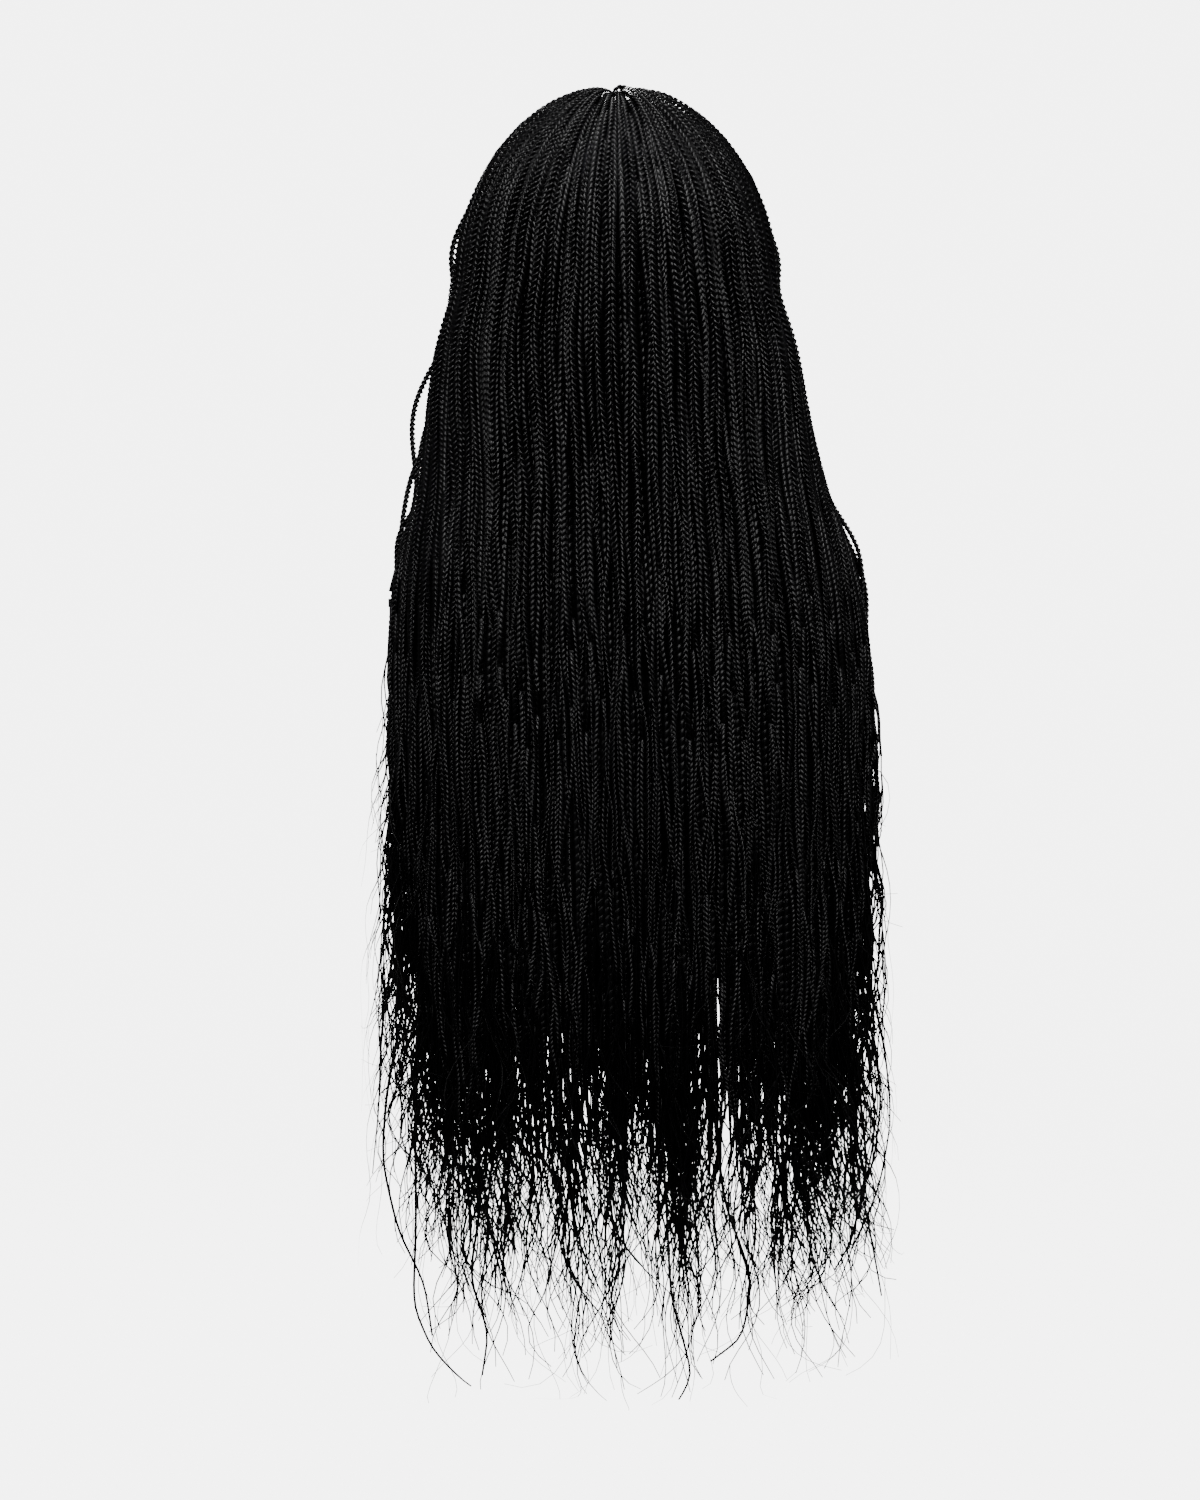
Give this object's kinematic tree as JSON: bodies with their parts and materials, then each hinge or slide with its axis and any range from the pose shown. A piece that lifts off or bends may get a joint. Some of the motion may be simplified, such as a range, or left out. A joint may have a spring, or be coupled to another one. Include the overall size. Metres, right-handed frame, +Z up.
{
  "type": "braid wig",
  "caption": "Waist-length wig of fine black rope twists on a stretch cap, with a middle parting and ragged loose ends, shaped as worn.",
  "frame": {"origin": "inside of the cap at the top of the head, where the head carries the wig", "axes": "+Z up, -Y the way the wearer faces, +X to the wearer's left"},
  "size_m": [0.3091, 0.2117, 0.8064],
  "materials": {
    "twisted_hair": "black synthetic fibre, twisted, soft shine",
    "cap_mesh": "black stretch mesh, matt"
  },
  "bodies": {
    "root": {"wig_cap": "cap_mesh", "lock_right_01": "twisted_hair", "lock_right_02": "twisted_hair", "lock_right_03": "twisted_hair", "lock_right_04": "twisted_hair", "lock_right_05": "twisted_hair", "lock_right_06": "twisted_hair", "lock_right_07": "twisted_hair", "lock_right_08": "twisted_hair", "lock_right_09": "twisted_hair", "lock_right_10": "twisted_hair", "lock_right_11": "twisted_hair", "lock_right_12": "twisted_hair", "lock_left_01": "twisted_hair", "lock_left_02": "twisted_hair", "lock_left_03": "twisted_hair", "lock_left_04": "twisted_hair", "lock_left_05": "twisted_hair", "lock_left_06": "twisted_hair", "lock_left_07": "twisted_hair", "lock_left_08": "twisted_hair", "lock_left_09": "twisted_hair", "lock_left_10": "twisted_hair", "lock_left_11": "twisted_hair", "lock_left_12": "twisted_hair"}
  },
  "joints": []
}
